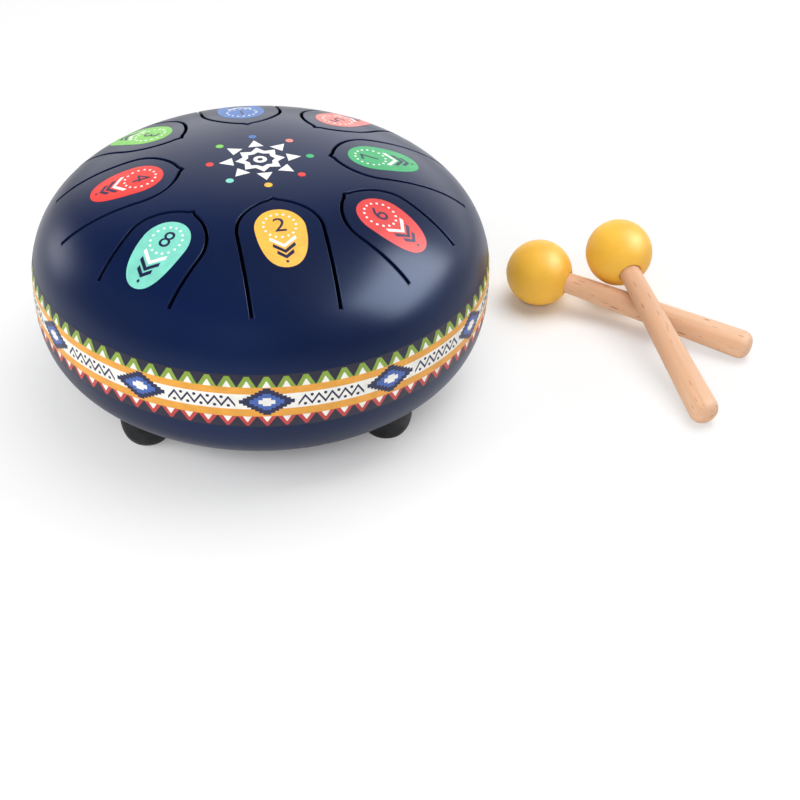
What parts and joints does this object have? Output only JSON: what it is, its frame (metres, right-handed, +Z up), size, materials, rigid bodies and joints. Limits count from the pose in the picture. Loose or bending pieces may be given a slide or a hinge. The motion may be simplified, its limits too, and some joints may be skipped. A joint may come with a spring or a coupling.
{
  "type": "tongue drum",
  "caption": "Round domed steel drum with slit tongues, colour patches, rubber feet and a sound hole beneath, with ball-headed wooden mallets crossed beside it.",
  "frame": {"origin": "on the table, under the middle of the box round the drum and its mallets", "axes": "+Z up; +X from the drum towards the mallets, along the longest side of the set; +Y away from the player"},
  "size_m": [0.3286, 0.2008, 0.1064],
  "materials": {
    "shell_paint": "satin",
    "band_print": "satin",
    "centre_print": "satin",
    "note_print_1": "satin",
    "note_print_2": "satin",
    "note_print_3": "satin",
    "note_print_4": "satin",
    "note_print_5": "satin",
    "note_print_6": "satin",
    "note_print_7": "satin",
    "note_print_8": "satin",
    "rubber": "matt",
    "zinc_steel": "zinc plated",
    "ball_paint": "satin paint",
    "beech": "fine sanded, waxed"
  },
  "bodies": {
    "drum": {"top_shell": "shell_paint", "bottom_shell": "shell_paint", "rim_band": "band_print", "centre_badge": "centre_print", "tongue_badge_1": "note_print_1", "tongue_badge_2": "note_print_2", "tongue_badge_3": "note_print_3", "tongue_badge_4": "note_print_4", "tongue_badge_5": "note_print_5", "tongue_badge_6": "note_print_6", "tongue_badge_7": "note_print_7", "tongue_badge_8": "note_print_8", "foot_1": "rubber", "foot_2": "rubber", "foot_3": "rubber", "foot_4": "rubber", "foot_screw_1": "zinc_steel", "foot_washer_1": "zinc_steel", "foot_nut_1": "zinc_steel", "foot_screw_2": "zinc_steel", "foot_washer_2": "zinc_steel", "foot_nut_2": "zinc_steel", "foot_screw_3": "zinc_steel", "foot_washer_3": "zinc_steel", "foot_nut_3": "zinc_steel", "foot_screw_4": "zinc_steel", "foot_washer_4": "zinc_steel", "foot_nut_4": "zinc_steel"},
    "mallet_a": {"mallet_a_head": "ball_paint", "mallet_a_handle": "beech"},
    "mallet_b": {"mallet_b_head": "ball_paint", "mallet_b_handle": "beech"}
  },
  "joints": [
    {"name": "mallet_a_lift", "type": "slide", "parent": "drum", "child": "mallet_a", "axis": [0, 0, 1], "range_m": [0, 0.08]},
    {"name": "mallet_b_lift", "type": "slide", "parent": "mallet_a", "child": "mallet_b", "axis": [0, 0, 1], "range_m": [0, 0.08]}
  ]
}
